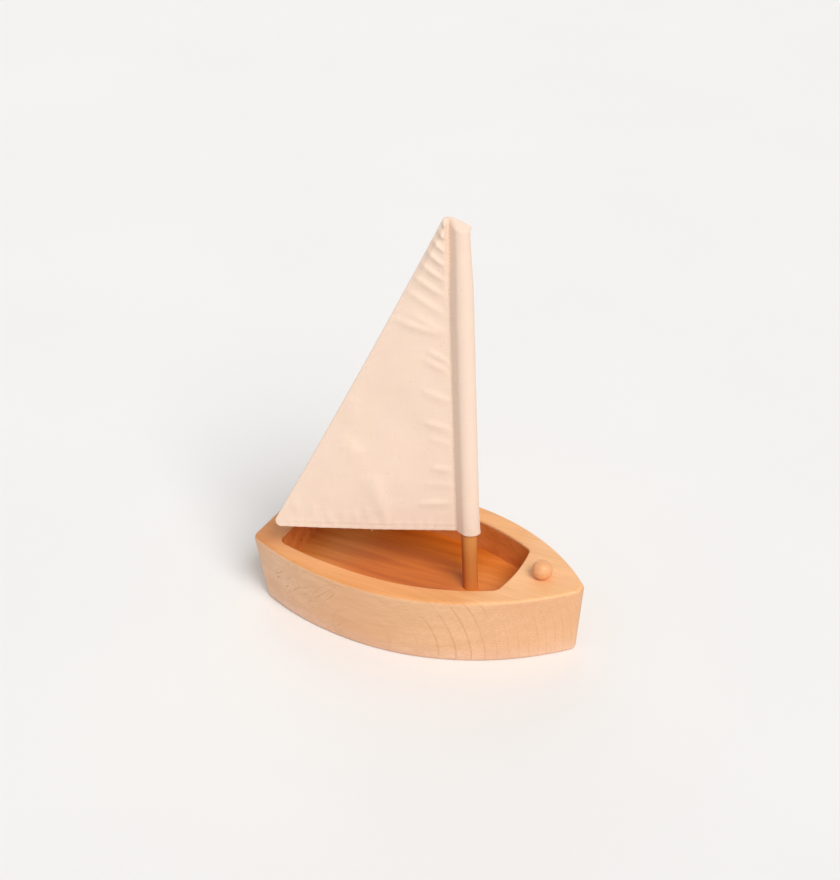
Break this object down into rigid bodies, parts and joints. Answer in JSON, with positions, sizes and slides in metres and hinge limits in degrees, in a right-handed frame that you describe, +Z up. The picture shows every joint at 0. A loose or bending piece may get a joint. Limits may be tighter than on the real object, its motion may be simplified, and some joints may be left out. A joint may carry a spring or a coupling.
{
  "type": "toy boat",
  "caption": "Wooden toy sailing boat with an open cargo well, a mast that lifts out of its socket and a cotton sail that swings round the mast.",
  "frame": {"origin": "middle of the underside of the hull, on the surface the boat stands on", "axes": "+X towards the bow, +Y to port, +Z up along the mast"},
  "size_m": [0.2194, 0.1184, 0.2865],
  "materials": {
    "hull_wood": "oiled light hardwood, satin",
    "knob_wood": "turned light hardwood, satin",
    "mast_wood": "oiled birch dowel, satin",
    "sail_cotton": "unbleached plain-weave cotton",
    "sewing_thread": "matt spun cotton thread"
  },
  "bodies": {
    "hull": {"hull": "hull_wood", "bow_knob": "knob_wood"},
    "mast": {"mast": "mast_wood"},
    "sail": {"sail": "sail_cotton", "pocket_needle_thread": "sewing_thread", "pocket_bobbin_thread": "sewing_thread", "foot_needle_thread": "sewing_thread", "foot_bobbin_thread": "sewing_thread"}
  },
  "joints": [
    {"name": "mast_lift", "type": "slide", "parent": "hull", "child": "mast", "axis": [0, 0, 1], "range_m": [0, 0.02]},
    {"name": "sail_swing", "type": "hinge", "parent": "mast", "child": "sail", "pos_m": [0.0315, 0, 0], "axis": [0, 0, 1], "continuous": true}
  ]
}
